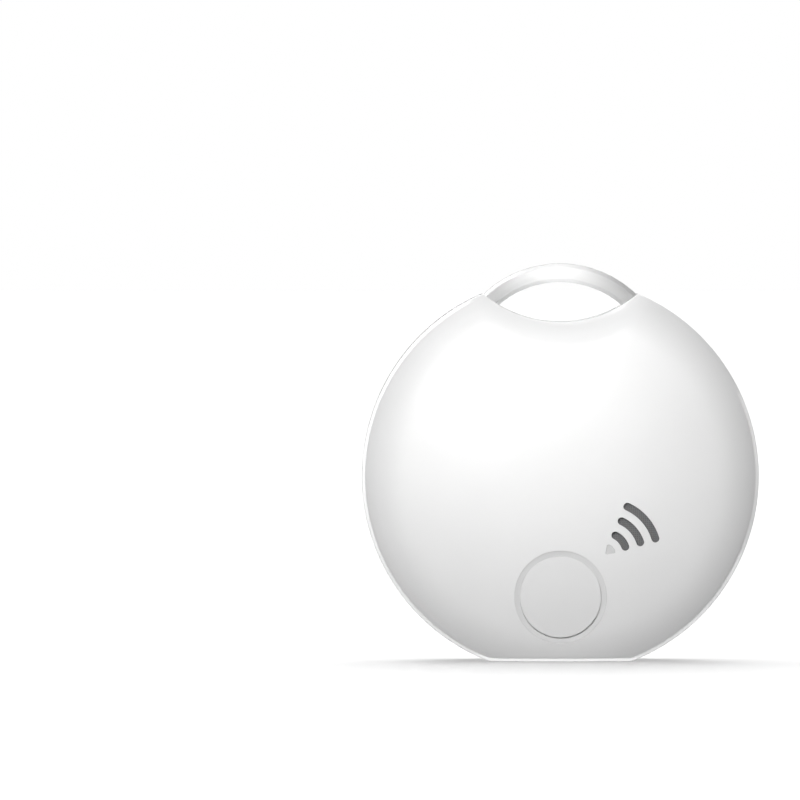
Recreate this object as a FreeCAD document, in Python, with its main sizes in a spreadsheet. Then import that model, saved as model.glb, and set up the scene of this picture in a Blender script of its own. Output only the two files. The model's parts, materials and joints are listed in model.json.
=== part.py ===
import FreeCAD, Part
import os
import re

import Sketcher

# A round bluetooth tracker tag. Two domed covers clamp a frame whose moulded loop arches over a notch in
# the outline. Inside are the button, the sounder, the board and a coin cell behind a bayonet door.
# +X is right, +Z is up and the front faces -Y. The tag stands on its base flat at z = 0.
# A depth is measured backwards from the middle of the front face, and a rise is measured upwards from the
# body's axis, which runs from front to back.

SIZES = {
    # Outline, seen from the front
    "body_radius": 22.5,
    "base_drop": 21.0,
    "notch_rise": 31.1,
    "notch_radius": 13.6,
    "loop_rise": 11.5,
    "loop_outer_radius": 12.6,
    "loop_inner_radius": 10.5,
    "loop_root_rise": 18.6,
    # Covers
    "thickness": 9.0,
    "skin": 1.2,
    "grille_thickness": 0.5,
    "wall": 1.2,
    "crown_radius": 17.9,
    "edge_drop": 1.15,
    "edge_chamfer": 0.4,
    "notch_roll": 3.0,
    "notch_roll_drop": 1.1,
    "notch_roll_start": 0.02,
    "inner_crown_radius": 17.2,
    # Frame between the covers
    "frame_front": 2.9,
    "frame_back": 5.9,
    "seam": 0.05,
    "frame_inset": 0.1,
    "frame_wall": 2.0,
    "loop_chamfer": 0.4,
    "loop_crown": 0.1,
    "seal_inset": 1.3,
    "seal_width": 0.6,
    # Button
    "button_rise": -13.62,
    "button_hole_radius": 5.24,
    "button_radius": 4.59,
    "button_flange_radius": 5.15,
    "button_flange_front": 2.3,
    "button_flange_back": 2.6,
    "button_recess_radius": 3.2,
    "button_recess_depth": 1.5,
    "button_post_radius": 1.2,
    "button_travel": 0.35,
    "membrane_front": 0.05,
    "membrane_dish": 0.25,
    "membrane_seat": 1.9,
    "membrane_back": 2.2,
    "membrane_inner_radius": 4.66,
    "membrane_flange_radius": 6.0,
    "switch_width": 3.6,
    "switch_height": 0.75,
    "plunger_radius": 0.6,
    "plunger_front": 2.05,
    # Sound slots and status light, which share one centre
    "icon_x": 5.17,
    "icon_rise": -8.69,
    "icon_angle": 41.3,
    "slot_width": 0.88,
    "slot_radius_first": 2.29,
    "slot_radius_step": 1.765,
    "slot_half_span_first": 21.8,
    "slot_half_span_step": 1.3,
    "window_angle": 44.0,
    "window_radius": 1.17,
    "window_span": 70.0,
    "window_setback": 0.16,
    "window_recess": 0.1,
    "window_corner": 0.2,
    "light_guide_back": 2.5,
    "led_width": 1.6,
    "led_height": 0.8,
    "led_thickness": 0.6,
    "led_offset": 0.3,
    # Sounder
    "sounder_x": 10.0,
    "sounder_rise": -4.0,
    "sounder_radius": 5.4,
    "sounder_ceramic_radius": 3.9,
    "sounder_plate_front": 1.9,
    "sounder_layer": 0.2,
    "sounder_contact_radius": 0.3,
    "mesh_thickness": 0.15,
    "foam_width": 0.5,
    # Board and what stands on it
    "board_inset": 2.5,
    "board_front": 3.2,
    "board_thickness": 0.6,
    "shield_x": -6.6,
    "shield_rise": 2.4,
    "shield_width": 8.6,
    "shield_height": 7.4,
    "shield_thickness": 1.4,
    "shield_sheet": 0.2,
    "chip_x": -6.8,
    "chip_side": 4.8,
    "chip_thickness": 0.8,
    "antenna_rise": 13.2,
    "antenna_width": 7.0,
    "antenna_height": 2.0,
    "antenna_thickness": 1.0,
    "crystal_x": -7.0,
    "crystal_rise": -4.2,
    "crystal_width": 3.2,
    "crystal_height": 2.5,
    "crystal_thickness": 0.7,
    "capacitor_x": -13.0,
    "capacitor_rise": -7.0,
    "capacitor_step": 1.8,
    "capacitor_line": 1.2,
    "capacitor_width": 1.0,
    "capacitor_height": 0.5,
    # Screws
    "screw_circle": 17.3,
    "screw_radius": 0.8,
    "screw_head_radius": 1.45,
    "screw_head_height": 0.8,
    "screw_seat": 7.0,
    "screw_tip": 1.5,
    "screw_hole_radius": 0.95,
    "front_boss_radius": 1.9,
    "rear_boss_radius": 2.3,
    "counterbore_radius": 1.6,
    "cross_length": 1.7,
    "cross_width": 0.35,
    # Coin cell, size CR2032
    "cell_front": 4.2,
    "cell_thickness": 3.2,
    "cell_radius": 10.0,
    "cell_cap_radius": 8.9,
    "cell_cap_height": 2.2,
    "cell_can_rim": 0.4,
    "cell_gasket_rim": 0.3,
    "cell_anode_depth": 0.9,
    "cell_sheet": 0.25,
    # Cell holder and contacts
    "holder_radius": 11.4,
    "holder_hole_radius": 7.0,
    "holder_clearance": 0.25,
    "holder_height": 2.2,
    "holder_floor": 0.3,
    "gate_offset": 1.0,
    "gate_depth": 3.0,
    "gate_width": 4.8,
    "negative_foot_radius": 4.0,
    "negative_root_radius": 1.5,
    "negative_tip_radius": 1.2,
    "negative_sheet": 0.15,
    "positive_gap": 0.15,
    "positive_width": 4.0,
    "positive_height": 2.0,
    "positive_foot": 1.9,
    "positive_sheet": 0.2,
    # Battery door
    "door_radius": 13.2,
    "door_gap": 0.2,
    "door_play": 0.1,
    "door_seat": 8.0,
    "door_plug_radius": 12.1,
    "door_skirt_radius": 10.6,
    "door_skirt_front": 6.3,
    "door_inner_face": 7.6,
    "door_edge": 0.15,
    "lug_front": 6.4,
    "lug_height": 0.7,
    "lug_span": 24.0,
    "lug_overlap": 0.3,
    "entry_span": 30.0,
    "lug_angle": 90.0,
    "door_turn": 60.0,
    "collar_radius": 14.4,
    "ring_section_radius": 0.33,
    "ring_groove_front": 7.3,
    "coin_slot_length": 15.0,
    "coin_slot_width": 1.8,
    "coin_slot_depth": 0.7,
}
LUGS = 3
SCREW_ANGLES = (20.0, 160.0, 222.0, 318.0)
SLOTS = 3
CAPACITOR_COLUMNS = 4
CAPACITOR_LINES = 2
PAST = 1.0  # how far a cutting tool runs past the face that it cuts
TINY = 1e-6
ALONG_Y = FreeCAD.Rotation(FreeCAD.Vector(1, 0, 0), -90)

doc = FreeCAD.newDocument("TrackerTag")
sheet = doc.addObject("Spreadsheet::Sheet", "Sizes")
for row, (alias, number) in enumerate(SIZES.items(), start=1):
    sheet.set(f"A{row}", alias)
    sheet.set(f"B{row}", str(number))
    sheet.setAlias(f"B{row}", alias)
doc.recompute()
nodes = []


def bind(item, path, text):
    """Binds one property of an object to a formula whose words are the sheet's aliases."""
    formula = re.sub(r"[a-z_]+", lambda word: f"Sizes.{word[0]}" if word[0] in SIZES else word[0], text)
    item.setExpression(path, formula)


def size(text):
    """The present value of a formula in the sheet's aliases."""
    return float(sheet.evalExpression(text))


def place(item, x, depth, rise):
    """Puts an object at x, at a depth behind the front face and at a rise above the body's axis."""
    bind(item, "Placement.Base.x", x)
    bind(item, "Placement.Base.y", f"{depth} - thickness / 2")
    bind(item, "Placement.Base.z", f"base_drop + {rise}")


def disc(radius, front, back, x="0", rise="0"):
    """A cylinder from front to back."""
    item = doc.addObject("Part::Cylinder", "Disc")
    item.Placement = FreeCAD.Placement(FreeCAD.Vector(), ALONG_Y)
    bind(item, "Radius", radius)
    bind(item, "Height", f"{back} - ({front})")
    place(item, x, front, rise)
    return item


def sector(radius, front, back, middle, span, x="0", rise="0"):
    """A slice of a cylinder, span degrees wide about the direction middle, counted from +X to +Z."""
    item = disc(radius, front, back, x, rise)
    item.Label = "Sector"
    bind(item, "Angle", span)
    start = FreeCAD.Rotation(FreeCAD.Vector(0, 0, 1), -size(f"{middle} + ({span}) / 2"))
    item.Placement.Rotation = ALONG_Y.multiply(start)
    return item


def block(width, height, front, back, x="0", rise="0"):
    """A box whose middle is at x and rise."""
    item = doc.addObject("Part::Box", "Block")
    bind(item, "Length", width)
    bind(item, "Height", height)
    bind(item, "Width", f"{back} - ({front})")
    place(item, f"{x} - ({width}) / 2", front, f"{rise} - ({height}) / 2")
    return item


def cut(base, *tools):
    """The base with every tool taken away."""
    item = doc.addObject("Part::Cut", "Cut")
    item.Base = base
    item.Tool = tools[0] if len(tools) == 1 else fuse(*tools)
    return item


def fuse(*items):
    """The items joined into one."""
    item = doc.addObject("Part::MultiFuse", "Fuse")
    item.Shapes = list(items)
    return item


def common(first, second):
    """What two objects share."""
    item = doc.addObject("Part::MultiCommon", "Common")
    item.Shapes = [first, second]
    return item


def node(label, item):
    """Names a finished sub-part."""
    item.Label = label
    nodes.append(item)
    return item


def group(label, items):
    """Names a set of identical, separate pieces."""
    item = doc.addObject("Part::Compound", "Group")
    item.Links = items
    return node(label, item)


def below_base(inset):
    """A block that cuts everything lower than inset above the base flat."""
    return block("3 * body_radius", "body_radius", f"-{PAST}", f"thickness + {PAST}",
                 rise=f"({inset}) - base_drop - body_radius / 2")


def trimmed(item, inset):
    """The item cut off at the base flat and at the notch, both moved inwards by inset."""
    notch = disc(f"notch_radius + ({inset})", f"-{PAST}", f"thickness + {PAST}", rise="notch_rise")
    return cut(item, below_base(inset), notch)


def outline(inset, front, back):
    """A prism with the body's outline moved inwards by inset: a circle with a base flat and a notch."""
    return trimmed(disc(f"body_radius - ({inset})", front, back), inset)


def tangent_arc(level, other):
    """The arc between two points that leaves the first along the radial direction. A sketch keeps its arcs
    anticlockwise, so the arc is made that way round."""
    radius = (other - level).dot(other - level) / (2 * (other.y - level.y))
    centre = level + FreeCAD.Vector(0, radius, 0)
    middle = centre + ((level + other) / 2 - centre).normalize() * abs(radius)
    anticlockwise = (middle - level).cross(other - middle).z > 0
    ends = (level, other) if anticlockwise else (other, level)
    return Part.Arc(ends[0], middle, ends[1])


def turned(profile, x="0", rise="0"):
    """A body turned about a front-to-back axis. Each item of the profile is a radius and a depth, and may
    add "from level" or "to level" when a tangent arc, level at that end, leads on to the next item."""
    body = doc.addObject("PartDesign::Body", "Turned")
    sketch = body.newObject("Sketcher::SketchObject", "Profile")
    plane = next(item for item in body.Origin.OriginFeatures if item.Role == "XY_Plane")
    sketch.AttachmentSupport = [(plane, "")]
    sketch.MapMode = "FlatFace"
    points = [FreeCAD.Vector(size(item[0]), size(item[1]), 0) for item in profile]
    for index, item in enumerate(profile):
        start, end = points[index], points[(index + 1) % len(points)]
        if len(item) == 2:
            sketch.addGeometry(Part.LineSegment(start, end))
        elif item[2] == "from level":
            sketch.addGeometry(tangent_arc(start, end))
        else:
            sketch.addGeometry(tangent_arc(end, start))
    first = [1 if sketch.Geometry[i].StartPoint.isEqual(points[i], 1e-4) else 2 for i in range(len(points))]
    for index, item in enumerate(profile):
        after = (index + 1) % len(points)
        sketch.addConstraint(Sketcher.Constraint("Coincident", index, 3 - first[index], after, first[after]))
        for axis, kind, number, text in ((-2, "DistanceX", points[index].x, item[0]),
                                         (-1, "DistanceY", points[index].y, item[1])):
            if number == 0:
                sketch.addConstraint(Sketcher.Constraint("PointOnObject", index, first[index], axis))
            else:
                made = sketch.addConstraint(Sketcher.Constraint(kind, -1, 1, index, first[index], number))
                bind(sketch, f"Constraints[{made}]", text)
        if len(item) == 3:
            level = first[index] if item[2] == "from level" else 3 - first[index]
            sketch.addConstraint(Sketcher.Constraint("Vertical", index, 3, index, level))
    body.newObject("PartDesign::Revolution", "Revolution")
    body.Tip.Profile = sketch
    body.Tip.ReferenceAxis = (sketch, ["V_Axis"])
    body.Tip.Angle = 360
    place(body, x, "0", rise)
    return body


def from_rear(depth):
    """The depth as far in front of the rear face as the given depth is behind the front face."""
    return f"thickness - ({depth})"


def same_depth(depth):
    return depth


def dome(depth_of, back):
    """The solid outside of one cover, before it is trimmed to the outline."""
    return turned([
        ("0", depth_of("0")),
        ("crown_radius", depth_of("0"), "from level"),
        ("body_radius - edge_chamfer", depth_of("edge_drop")),
        ("body_radius", depth_of("edge_drop + edge_chamfer")),
        ("body_radius", depth_of(back)),
        ("0", depth_of(back)),
    ])


def hollow(depth_of, back):
    """The room inside one cover, which follows its dome."""
    room = turned([
        ("0", depth_of("skin")),
        ("inner_crown_radius", depth_of("skin"), "from level"),
        ("body_radius - wall", depth_of("skin + edge_drop")),
        ("body_radius - wall", depth_of(f"{back} + {PAST}")),
        ("0", depth_of(f"{back} + {PAST}")),
    ])
    return trimmed(room, "wall")


def rolled_notch(depth_of):
    """The tool that cuts the notch with a chamfer and a soft roll into the face."""
    return turned([
        ("0", depth_of(f"-{PAST}")),
        ("notch_radius + edge_chamfer + notch_roll", depth_of(f"-{PAST}")),
        ("notch_radius + edge_chamfer + notch_roll", depth_of("-notch_roll_start"), "from level"),
        ("notch_radius + edge_chamfer", depth_of("notch_roll_drop")),
        ("notch_radius", depth_of("notch_roll_drop + edge_chamfer")),
        ("notch_radius", depth_of("thickness / 2")),
        ("0", depth_of("thickness / 2")),
    ], rise="notch_rise")


def screw_place(angle):
    """The x and the rise of one screw."""
    return f"screw_circle * cos({angle})", f"screw_circle * sin({angle})"


def at_screws(radius, front, back):
    """A cylinder at each of the screws."""
    return [disc(radius, front, back, *screw_place(angle)) for angle in SCREW_ANGLES]


def sound_slot(number, front, back):
    """One of the sound slots: an arc with round ends, in a set that widens outwards."""
    radius = f"(slot_radius_first + {number} * slot_radius_step)"
    half_span = f"(slot_half_span_first + {number} * slot_half_span_step)"
    outer = sector(f"{radius} + slot_width / 2", front, back, "icon_angle", f"2 * {half_span}",
                   "icon_x", "icon_rise")
    inner = disc(f"{radius} - slot_width / 2", f"{front} - {PAST}", f"{back} + {PAST}",
                 "icon_x", "icon_rise")
    ends = [
        disc("slot_width / 2", front, back,
             f"icon_x + {radius} * cos(icon_angle {sign} {half_span})",
             f"icon_rise + {radius} * sin(icon_angle {sign} {half_span})")
        for sign in "+-"
    ]
    return fuse(cut(outer, inner), *ends)


def light_window(extra, front, back):
    """The rounded sector of the status light, grown all round by extra."""
    wedge = sector(f"window_radius + {extra}", front, back, "window_angle", "window_span",
                   f"icon_x - (window_setback + {extra}) * cos(window_angle)",
                   f"icon_rise - (window_setback + {extra}) * sin(window_angle)")
    doc.recompute()
    rounded = doc.addObject("Part::Fillet", "Rounded")
    rounded.Base = wedge
    radius = size("window_corner")
    upright = [
        number for number, edge in enumerate(wedge.Shape.Edges, start=1)
        if abs(edge.BoundBox.YLength - edge.Length) < TINY
    ]
    rounded.Edges = [(number, radius, radius) for number in upright]
    return rounded


def make_front_cover():
    shell = cut(dome(same_depth, "frame_front - seam"), hollow(same_depth, "frame_front"))
    bosses = at_screws("front_boss_radius", "skin / 2", "board_front")
    collar = disc("membrane_flange_radius + seam", "skin / 2", "membrane_seat", rise="button_rise")
    solid = cut(fuse(shell, collar, *bosses), below_base("0"), rolled_notch(same_depth))
    pilots = at_screws("screw_radius", "screw_tip - seam", f"board_front + {PAST}")
    button_hole = disc("button_hole_radius", f"-{PAST}", "board_front", rise="button_rise")
    slots = [sound_slot(number, f"-{PAST}", "frame_front") for number in range(SLOTS)]
    pocket = disc("sounder_radius + seam", "grille_thickness", "frame_front", "sounder_x", "sounder_rise")
    window = light_window("seam", f"-{PAST}", "frame_front")
    node("front_cover", cut(solid, button_hole, pocket, window, *slots, *pilots))


def make_rear_cover():
    shell = cut(dome(from_rear, "thickness - frame_back - seam"), hollow(from_rear, "thickness - frame_back"))
    bosses = at_screws("rear_boss_radius", "board_front + board_thickness", "thickness - skin / 2")
    collar = disc("collar_radius", "door_skirt_front", "thickness - skin / 2")
    solid = cut(fuse(shell, collar, *bosses), below_base("0"), rolled_notch(from_rear))
    ledge_front = "lug_front + lug_height + door_play"
    socket = turned([
        ("0", f"door_skirt_front - {PAST}"),
        ("door_radius + door_gap", f"door_skirt_front - {PAST}"),
        ("door_radius + door_gap", ledge_front),
        ("door_plug_radius + door_gap", ledge_front),
        ("door_plug_radius + door_gap", "door_seat"),
        ("door_radius + door_gap", "door_seat"),
        ("door_radius + door_gap", f"thickness + {PAST}"),
        ("0", f"thickness + {PAST}"),
    ])
    entries = [
        sector("door_radius + door_gap", "lug_front", "door_seat + seam",
               f"lug_angle - door_turn + {number} * 360 / {LUGS}", "entry_span")
        for number in range(LUGS)
    ]
    holes = at_screws("screw_hole_radius", "board_front", f"thickness + {PAST}")
    counterbores = at_screws("counterbore_radius", "screw_seat", f"thickness + {PAST}")
    node("rear_cover", cut(solid, socket, *entries, *holes, *counterbores))


def make_loop_frame():
    ring = cut(outline("frame_inset", "frame_front", "frame_back"),
               outline("frame_wall", f"frame_front - {PAST}", f"frame_back + {PAST}"))
    front, back = "(frame_front + 2 * seam)", "(frame_back - 2 * seam)"
    hoop = turned([
        ("loop_inner_radius", f"{front} + loop_crown + loop_chamfer"),
        ("loop_inner_radius + loop_chamfer", f"{front} + loop_crown", "to level"),
        ("(loop_inner_radius + loop_outer_radius) / 2", front, "from level"),
        ("loop_outer_radius - loop_chamfer", f"{front} + loop_crown"),
        ("loop_outer_radius", f"{front} + loop_crown + loop_chamfer"),
        ("loop_outer_radius", f"{back} - loop_crown - loop_chamfer"),
        ("loop_outer_radius - loop_chamfer", f"{back} - loop_crown", "to level"),
        ("(loop_inner_radius + loop_outer_radius) / 2", back, "from level"),
        ("loop_inner_radius + loop_chamfer", f"{back} - loop_crown"),
        ("loop_inner_radius", f"{back} - loop_crown - loop_chamfer"),
    ], rise="loop_rise")
    buried = block("2 * body_radius", "2 * body_radius", "frame_front", "frame_back",
                   rise="loop_root_rise - body_radius")
    node("loop_frame", fuse(ring, cut(hoop, buried)))


def make_seals():
    for label, front, back in (("front_seal", "frame_front - seal_width", "frame_front"),
                               ("rear_seal", "frame_back", "frame_back + seal_width")):
        inside = outline("seal_inset + seal_width", f"{front} - {PAST}", f"{back} + {PAST}")
        node(label, cut(outline("seal_inset", front, back), inside))


def make_button():
    cap = turned([
        ("0", "0"),
        ("button_radius", "0"),
        ("button_radius", "button_flange_front"),
        ("button_flange_radius", "button_flange_front"),
        ("button_flange_radius", "button_flange_back"),
        ("button_recess_radius", "button_flange_back"),
        ("button_recess_radius", "button_recess_depth"),
        ("button_post_radius", "button_recess_depth"),
        ("button_post_radius", "plunger_front"),
        ("0", "plunger_front"),
    ], rise="button_rise")
    node("button_cap", common(cap, dome(same_depth, "frame_back")))
    node("button_membrane", turned([
        ("membrane_inner_radius", "membrane_front + membrane_dish"),
        ("button_hole_radius", "membrane_front"),
        ("button_hole_radius", "membrane_seat"),
        ("membrane_flange_radius", "membrane_seat"),
        ("membrane_flange_radius", "membrane_back"),
        ("membrane_inner_radius", "membrane_back"),
    ], rise="button_rise"))
    switch_front = "board_front - switch_height"
    body = block("switch_width", "switch_width", switch_front, "board_front", rise="button_rise")
    well = disc("plunger_radius + 2 * seam", f"{switch_front} - {PAST}", "board_front - 3 * seam",
                rise="button_rise")
    node("tactile_switch", cut(body, well))
    node("switch_plunger", disc("plunger_radius", "plunger_front",
                                "board_front - 4 * seam - button_travel", rise="button_rise"))


def make_sounder():
    at = {"x": "sounder_x", "rise": "sounder_rise"}
    mesh_back = "grille_thickness + mesh_thickness"
    plate_back = "sounder_plate_front + sounder_layer"
    node("sound_mesh", disc("sounder_radius", "grille_thickness", mesh_back, **at))
    foam = disc("sounder_radius", mesh_back, "sounder_plate_front", **at)
    bore = disc("sounder_radius - foam_width", "grille_thickness", "board_front", **at)
    node("sounder_foam_ring", cut(foam, bore))
    node("sounder_plate", disc("sounder_radius", "sounder_plate_front", plate_back, **at))
    node("sounder_ceramic",
         disc("sounder_ceramic_radius", plate_back, f"{plate_back} + sounder_layer", **at))
    group("sounder_contacts", [
        disc("sounder_contact_radius", plate_back, "board_front",
             x="sounder_x + (sounder_radius + sounder_ceramic_radius) / 2", rise="sounder_rise"),
        disc("sounder_contact_radius", f"{plate_back} + sounder_layer", "board_front", **at),
    ])


def on_board(width, height, thickness, x, rise):
    """A block that stands on the front of the board."""
    return block(width, height, f"board_front - {thickness}", "board_front", x, rise)


def make_light():
    node("light_guide", light_window("0", "window_recess", "light_guide_back"))
    node("status_led", on_board("led_width", "led_height", "led_thickness",
                                "icon_x + led_offset", "icon_rise + led_offset"))


def make_board():
    plate = outline("board_inset", "board_front", "board_front + board_thickness")
    holes = at_screws("screw_hole_radius", "board_front - seam", "board_front + board_thickness + seam")
    node("main_board", cut(plate, *holes))
    can = on_board("shield_width", "shield_height", "shield_thickness", "shield_x", "shield_rise")
    room = block("shield_width - 2 * shield_sheet", "shield_height - 2 * shield_sheet",
                 "board_front - shield_thickness + shield_sheet", f"board_front + {PAST}",
                 "shield_x", "shield_rise")
    node("radio_shield", cut(can, room))
    node("radio_chip", on_board("chip_side", "chip_side", "chip_thickness", "chip_x", "shield_rise"))
    node("chip_antenna",
         on_board("antenna_width", "antenna_height", "antenna_thickness", "0", "antenna_rise"))
    node("clock_crystal",
         on_board("crystal_width", "crystal_height", "crystal_thickness", "crystal_x", "crystal_rise"))
    group("chip_capacitors", [
        on_board("capacitor_width", "capacitor_height", "capacitor_height",
                 f"capacitor_x + {column} * capacitor_step", f"capacitor_rise - {line} * capacitor_line")
        for column in range(CAPACITOR_COLUMNS) for line in range(CAPACITOR_LINES)
    ])


def make_screws():
    screws = []
    for angle in SCREW_ANGLES:
        x, rise = screw_place(angle)
        shaft = disc("screw_radius", "screw_tip", "screw_seat", x, rise)
        head = disc("screw_head_radius", "screw_seat", "screw_seat + screw_head_height", x, rise)
        cross = [block(width, height, "screw_seat + screw_head_height / 2", f"screw_seat + {PAST}", x, rise)
                 for width, height in (("cross_length", "cross_width"), ("cross_width", "cross_length"))]
        screws.append(cut(fuse(shaft, head), *cross))
    group("housing_screws", screws)


def make_cell():
    cell_back = "(cell_front + cell_thickness)"
    rim, lip = "cell_front + cell_can_rim", "cell_front + cell_gasket_rim"
    node("cell_can", turned([
        ("cell_radius - cell_sheet", rim),
        ("cell_radius", rim),
        ("cell_radius", cell_back),
        ("0", cell_back),
        ("0", f"{cell_back} - cell_sheet"),
        ("cell_radius - cell_sheet", f"{cell_back} - cell_sheet"),
    ]))
    node("cell_gasket", turned([
        ("cell_cap_radius", lip),
        ("cell_radius - cell_sheet", lip),
        ("cell_radius - cell_sheet", f"{cell_back} - cell_sheet"),
        ("cell_cap_radius", f"{cell_back} - cell_sheet"),
    ]))
    node("cell_cap", turned([
        ("0", "cell_front"),
        ("cell_cap_radius", "cell_front"),
        ("cell_cap_radius", "cell_front + cell_cap_height"),
        ("cell_cap_radius - cell_sheet", "cell_front + cell_cap_height"),
        ("cell_cap_radius - cell_sheet", "cell_front + cell_sheet"),
        ("0", "cell_front + cell_sheet"),
    ]))
    core = "cell_cap_radius - cell_sheet"
    separator = "cell_front + cell_anode_depth"
    node("cell_anode", disc(core, "cell_front + cell_sheet", separator))
    node("cell_cathode", disc(core, separator, f"{cell_back} - cell_sheet"))


def make_holder():
    board_back = "(board_front + board_thickness)"
    cup = turned([
        ("holder_hole_radius", board_back),
        ("holder_radius", board_back),
        ("holder_radius", f"{board_back} + holder_height"),
        ("cell_radius + holder_clearance", f"{board_back} + holder_height"),
        ("cell_radius + holder_clearance", f"{board_back} + holder_floor"),
        ("holder_hole_radius", f"{board_back} + holder_floor"),
    ])
    gate = block("gate_depth", "gate_width", f"{board_back} - {PAST}",
                 f"{board_back} + holder_height + {PAST}", "cell_radius + gate_offset")
    node("cell_holder", cut(cup, gate))
    node("negative_contact", turned([
        ("0", board_back),
        ("negative_foot_radius", board_back),
        ("negative_foot_radius", f"{board_back} + negative_sheet"),
        ("negative_root_radius", f"{board_back} + negative_sheet"),
        ("negative_tip_radius", "cell_front"),
        ("0", "cell_front"),
    ]))
    leaf = block("positive_sheet", "positive_width", board_back, f"{board_back} + positive_height",
                 "cell_radius + positive_gap")
    foot = block("positive_foot", "positive_width", board_back, f"{board_back} + positive_sheet",
                 "cell_radius + gate_offset")
    node("positive_contact", fuse(leaf, foot))


def make_door():
    groove_back = "ring_groove_front + 2 * ring_section_radius + seam"
    groove_radius = "door_plug_radius + door_gap - 2 * ring_section_radius - seam"
    plate = turned([
        ("0", "door_inner_face"),
        ("door_skirt_radius", "door_inner_face"),
        ("door_skirt_radius", "door_skirt_front"),
        ("door_plug_radius", "door_skirt_front"),
        ("door_plug_radius", "ring_groove_front"),
        (groove_radius, "ring_groove_front"),
        (groove_radius, groove_back),
        ("door_plug_radius", groove_back),
        ("door_plug_radius", "door_seat + door_play"),
        ("door_radius", "door_seat + door_play"),
        ("door_radius", "thickness - door_edge"),
        ("door_radius - door_edge", "thickness"),
        ("0", "thickness"),
    ])
    lugs = []
    for number in range(LUGS):
        middle = f"lug_angle + {number} * 360 / {LUGS}"
        wedge = sector("door_radius", "lug_front", "lug_front + lug_height", middle, "lug_span")
        lugs.append(cut(wedge, disc("door_plug_radius - lug_overlap", "door_skirt_front", "thickness")))
    slot_front, slot_back = "thickness - coin_slot_depth", f"thickness + {PAST}"
    slot_end = "(coin_slot_length - coin_slot_width) / 2"
    slot = fuse(
        block("coin_slot_length - coin_slot_width", "coin_slot_width", slot_front, slot_back),
        disc("coin_slot_width / 2", slot_front, slot_back, x=slot_end),
        disc("coin_slot_width / 2", slot_front, slot_back, x=f"-{slot_end}"),
    )
    node("battery_door", cut(fuse(plate, *lugs), slot))
    ring = doc.addObject("Part::Torus", "Ring")
    ring.Placement = FreeCAD.Placement(FreeCAD.Vector(), ALONG_Y)
    bind(ring, "Radius1", "door_plug_radius + door_gap - ring_section_radius - seam / 2")
    bind(ring, "Radius2", "ring_section_radius")
    place(ring, "0", "ring_groove_front + ring_section_radius + seam / 2", "0")
    node("door_o_ring", ring)


def export():
    """Recomputes the document, checks every object and writes one file for each sub-part."""
    doc.recompute()
    for item in doc.Objects:
        if "Invalid" in item.State or "Error" in item.State:
            raise RuntimeError(f"{item.Label} did not build: {item.State}")
    os.makedirs("parts", exist_ok=True)
    for item in nodes:
        shape = item.Shape
        if shape.isNull() or not shape.isValid():
            raise RuntimeError(f"{item.Label} has no valid shape")
        shape.exportStep(f"parts/{item.Label}.step")


make_front_cover()
make_rear_cover()
make_loop_frame()
make_seals()
make_button()
make_sounder()
make_light()
make_board()
make_screws()
make_cell()
make_holder()
make_door()
export()
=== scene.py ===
import json
import math

import bmesh
import bpy
import numpy as np
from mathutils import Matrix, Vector
from mathutils.geometry import delaunay_2d_cdt


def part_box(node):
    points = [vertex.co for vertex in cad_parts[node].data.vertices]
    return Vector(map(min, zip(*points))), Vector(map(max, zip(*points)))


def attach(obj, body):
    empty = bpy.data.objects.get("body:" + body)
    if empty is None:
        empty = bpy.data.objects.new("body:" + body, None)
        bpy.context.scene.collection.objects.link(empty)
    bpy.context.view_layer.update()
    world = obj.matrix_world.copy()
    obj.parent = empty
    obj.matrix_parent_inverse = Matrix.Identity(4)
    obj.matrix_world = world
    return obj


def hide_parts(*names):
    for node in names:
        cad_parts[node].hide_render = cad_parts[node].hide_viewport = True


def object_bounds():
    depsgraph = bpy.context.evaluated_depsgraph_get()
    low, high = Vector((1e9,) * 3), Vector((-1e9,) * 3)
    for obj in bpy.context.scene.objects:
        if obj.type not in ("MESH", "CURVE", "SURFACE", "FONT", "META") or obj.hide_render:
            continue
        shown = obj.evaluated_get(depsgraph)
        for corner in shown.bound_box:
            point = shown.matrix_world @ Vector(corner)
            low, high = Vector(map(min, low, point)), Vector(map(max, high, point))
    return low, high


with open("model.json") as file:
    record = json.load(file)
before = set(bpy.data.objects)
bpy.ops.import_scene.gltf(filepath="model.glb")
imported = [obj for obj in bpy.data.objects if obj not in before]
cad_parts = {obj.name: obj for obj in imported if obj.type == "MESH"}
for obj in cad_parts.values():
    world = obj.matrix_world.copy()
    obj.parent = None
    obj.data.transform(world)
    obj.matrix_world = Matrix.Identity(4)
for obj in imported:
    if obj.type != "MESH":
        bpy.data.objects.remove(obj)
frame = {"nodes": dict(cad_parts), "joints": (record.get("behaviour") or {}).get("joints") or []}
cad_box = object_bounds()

# The tracker tag's looks. Shapes are worked out in millimetres as x, rise and depth: the rise is counted up
# from the body's axis and the depth backwards from the middle of the front face, as in the CAD model.
MM = 0.001


def box_mm(node):
    """The lowest and highest corner of a CAD node in millimetres."""
    low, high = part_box(node)
    return low / MM, high / MM


def joint(name):
    return next(item for item in frame["joints"] if item["name"] == name)


COVER_LOW, COVER_HIGH = box_mm("front_cover")
AXIS_HEIGHT = joint("door_twist")["pos_m"][2] / MM
THICKNESS = (cad_box[1].y - cad_box[0].y) / MM
TOP = cad_box[1].z / MM - AXIS_HEIGHT

# Outline, seen from the front
BODY_RADIUS = (COVER_HIGH.x - COVER_LOW.x) / 2
BASE_DROP = AXIS_HEIGHT - COVER_LOW.z
NOTCH_RISE = 31.1
NOTCH_RADIUS = 13.6
LOOP_RISE = 11.5
LOOP_OUTER = TOP - LOOP_RISE
LOOP_INNER = 10.5
CORNER = 0.3

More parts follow.
